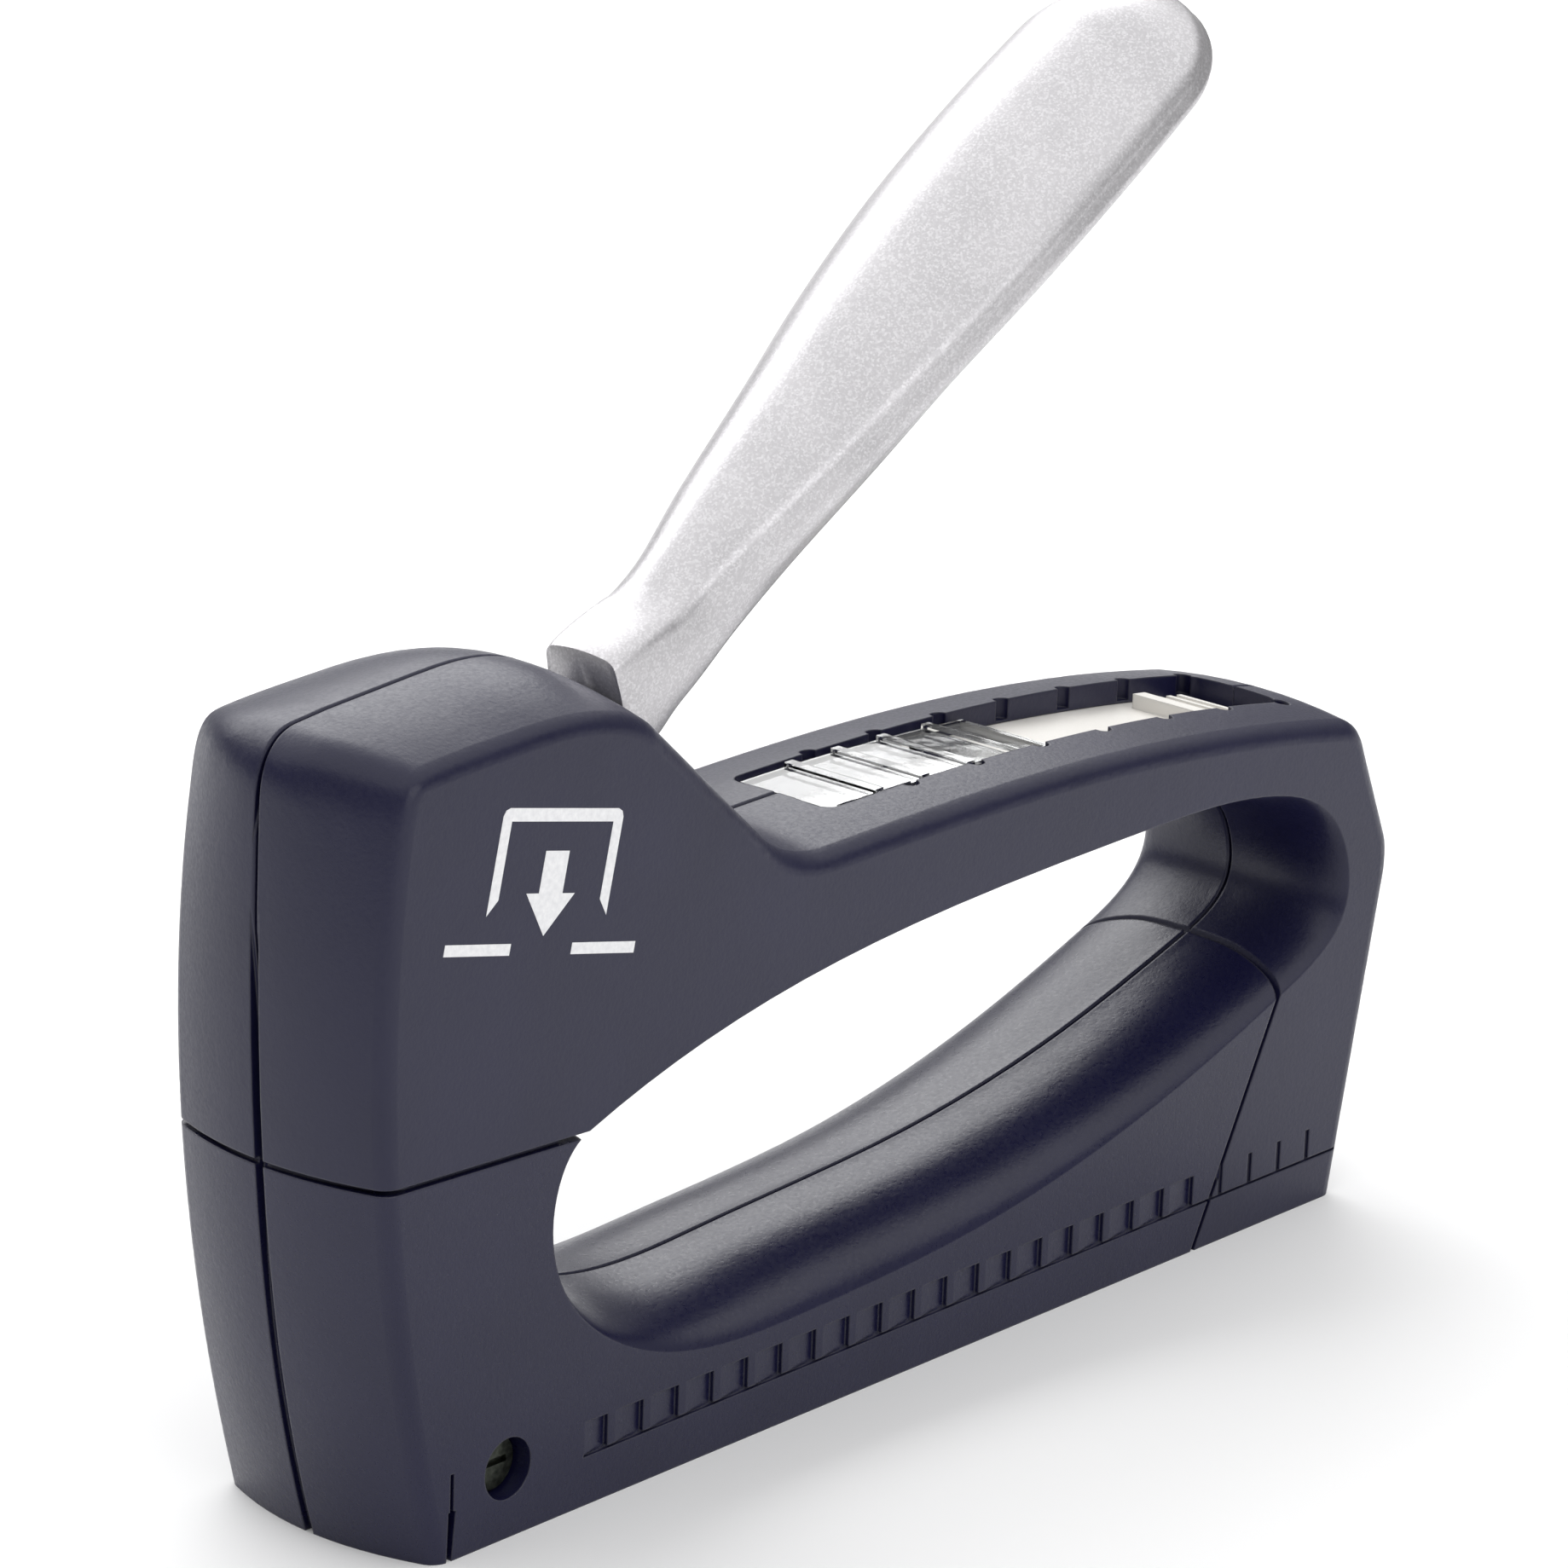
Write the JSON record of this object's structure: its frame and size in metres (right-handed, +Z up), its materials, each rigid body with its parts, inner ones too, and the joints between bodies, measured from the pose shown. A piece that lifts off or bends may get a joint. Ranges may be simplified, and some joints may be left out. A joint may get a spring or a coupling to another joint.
{
  "type": "staple gun",
  "caption": "Hand staple gun with a charcoal moulded body, an open finger grip, a raised silver squeeze lever, a bottom magazine and a staple store in the handle.",
  "frame": {"origin": "middle of the bounding box's footprint, on the flat foot that the gun stands on", "axes": "+Z up through the raised lever, -X towards the nose where staples leave, +X towards the rear of the handle, +Y towards the side with the housing screws; Y is the thin direction and the centre plane is Y = 0"},
  "size_m": [0.1562, 0.0276, 0.1319],
  "materials": {
    "housing_plastic": "satin charcoal, fine moulded grain",
    "base_plastic": "satin charcoal, slightly glossier",
    "lever_metal": "silver satin with fine sparkle",
    "steel": "plain mill finish",
    "spring_steel": "bright drawn wire",
    "screw_steel": "dark zinc",
    "zinc": "bright zinc plate",
    "bronze": "sintered bronze",
    "rubber_pad": "matt",
    "clear_window": "clear moulded plastic",
    "lid_plastic": "off-white moulded plastic",
    "cap_plastic": "black glass-filled plastic",
    "staple_wire": "galvanised wire"
  },
  "bodies": {
    "housing": {"head_shell_right": "housing_plastic", "head_shell_left": "housing_plastic", "base_shell_right": "base_plastic", "base_shell_left": "base_plastic", "housing_screws": "screw_steel", "nose_screws": "screw_steel", "core_frame": "steel", "main_spring": "spring_steel", "spring_cap": "zinc", "bumper": "rubber_pad", "nose_plate": "steel", "driver_guide": "cap_plastic", "pivot_pin": "steel", "magazine_channel": "zinc", "staple_rail": "zinc", "staple_strip": "staple_wire", "storage_window": "clear_window", "spare_staples": "staple_wire"},
    "striker": {"hammer": "steel", "driver_blade": "steel", "hammer_rivets": "steel"},
    "lever": {"lever_grip": "lever_metal", "lever_arm": "steel", "lever_dowels": "steel", "pivot_bush": "bronze"},
    "magazine": {"guide_rod": "steel", "rod_clip": "spring_steel", "magazine_cap": "cap_plastic", "cap_leaf": "spring_steel", "feed_spring": "spring_steel"},
    "follower": {"follower": "zinc"},
    "lid": {"storage_lid": "lid_plastic"}
  },
  "joints": [
    {"name": "lever_pivot", "type": "hinge", "parent": "housing", "child": "lever", "pos_m": [-0.0476, 0, 0.058], "axis": [0, 1, 0], "range_deg": [0, 30], "stiffness_Nm_per_rad": 0.6, "springref_deg": -20.05},
    {"name": "striker_lift", "type": "slide", "parent": "housing", "child": "striker", "axis": [0, 0, 1], "range_m": [0, 0.0101], "deforming": ["main_spring"]},
    {"name": "magazine_slide", "type": "slide", "parent": "housing", "child": "magazine", "axis": [1, 0, 0], "range_m": [0, 0.06]},
    {"name": "follower_slide", "type": "slide", "parent": "magazine", "child": "follower", "axis": [1, 0, 0], "range_m": [0, 0.045], "stiffness_N_per_m": 20, "springref_m": -0.05, "deforming": ["feed_spring"]},
    {"name": "storage_lid_slide", "type": "hinge", "parent": "housing", "child": "lid", "pos_m": [0.0024, 0, -0.3675], "axis": [0, 1, 0], "range_deg": [-3, 0]}
  ],
  "couplings": [
    {"joint": "striker_lift", "follows": "lever_pivot", "m_per_rad": 0.01908}
  ]
}
